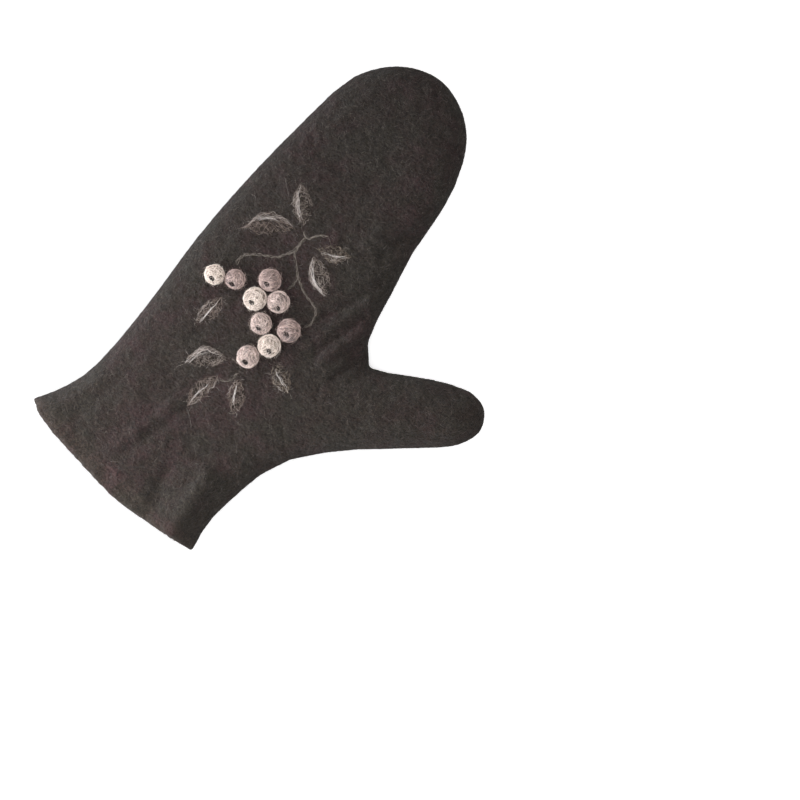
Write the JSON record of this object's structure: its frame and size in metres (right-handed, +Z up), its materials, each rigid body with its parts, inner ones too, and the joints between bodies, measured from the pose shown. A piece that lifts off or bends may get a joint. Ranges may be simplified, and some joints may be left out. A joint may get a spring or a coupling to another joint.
{
  "type": "felted wool mitten",
  "caption": "Felted wool mitten for the left hand, hollow and open at the cuff, with a needle-felted sprig of berries and leaves on its back.",
  "frame": {"origin": "middle of the mitten's footprint, on the surface that its palm side lies on", "axes": "+Y from the cuff to the fingertips, +X towards the thumb, +Z up from the palm to the back of the hand"},
  "size_m": [0.1974, 0.2758, 0.0289],
  "materials": {
    "felt": "matt wet-felted wool, charcoal brown with fine mottling and stray hairs",
    "berry_cream": "needle-felted wool, off-white, wound fibres",
    "berry_rose": "needle-felted wool, rose beige, wound fibres",
    "eye_wool": "small dark brown tuft",
    "leaf_wool": "loose grey-brown needle-felted wool",
    "streak_wool": "pale loose wool wisp",
    "stem_wool": "thin twisted wool"
  },
  "bodies": {
    "root": {"mitten_shell": "felt", "berry_1": "berry_cream", "berry_2": "berry_rose", "berry_3": "berry_rose", "berry_4": "berry_cream", "berry_5": "berry_rose", "berry_6": "berry_rose", "berry_7": "berry_rose", "berry_8": "berry_cream", "berry_9": "berry_rose", "berry_eye_1": "eye_wool", "berry_eye_2": "eye_wool", "berry_eye_3": "eye_wool", "berry_eye_4": "eye_wool", "berry_eye_5": "eye_wool", "berry_eye_6": "eye_wool", "berry_eye_7": "eye_wool", "berry_eye_8": "eye_wool", "berry_eye_9": "eye_wool", "leaf_a": "leaf_wool", "leaf_b": "leaf_wool", "leaf_c": "leaf_wool", "leaf_d": "leaf_wool", "leaf_e": "leaf_wool", "leaf_f": "leaf_wool", "leaf_g": "leaf_wool", "leaf_h": "leaf_wool", "leaf_i": "leaf_wool", "leaf_streak_a": "streak_wool", "leaf_streak_b": "streak_wool", "leaf_streak_c": "streak_wool", "leaf_streak_d": "streak_wool", "leaf_streak_e": "streak_wool", "leaf_streak_f": "streak_wool", "leaf_streak_g": "streak_wool", "leaf_streak_h": "streak_wool", "leaf_streak_i": "streak_wool", "stem_branches": "stem_wool", "stalk_f": "stem_wool", "stalk_g": "stem_wool"}
  },
  "joints": []
}
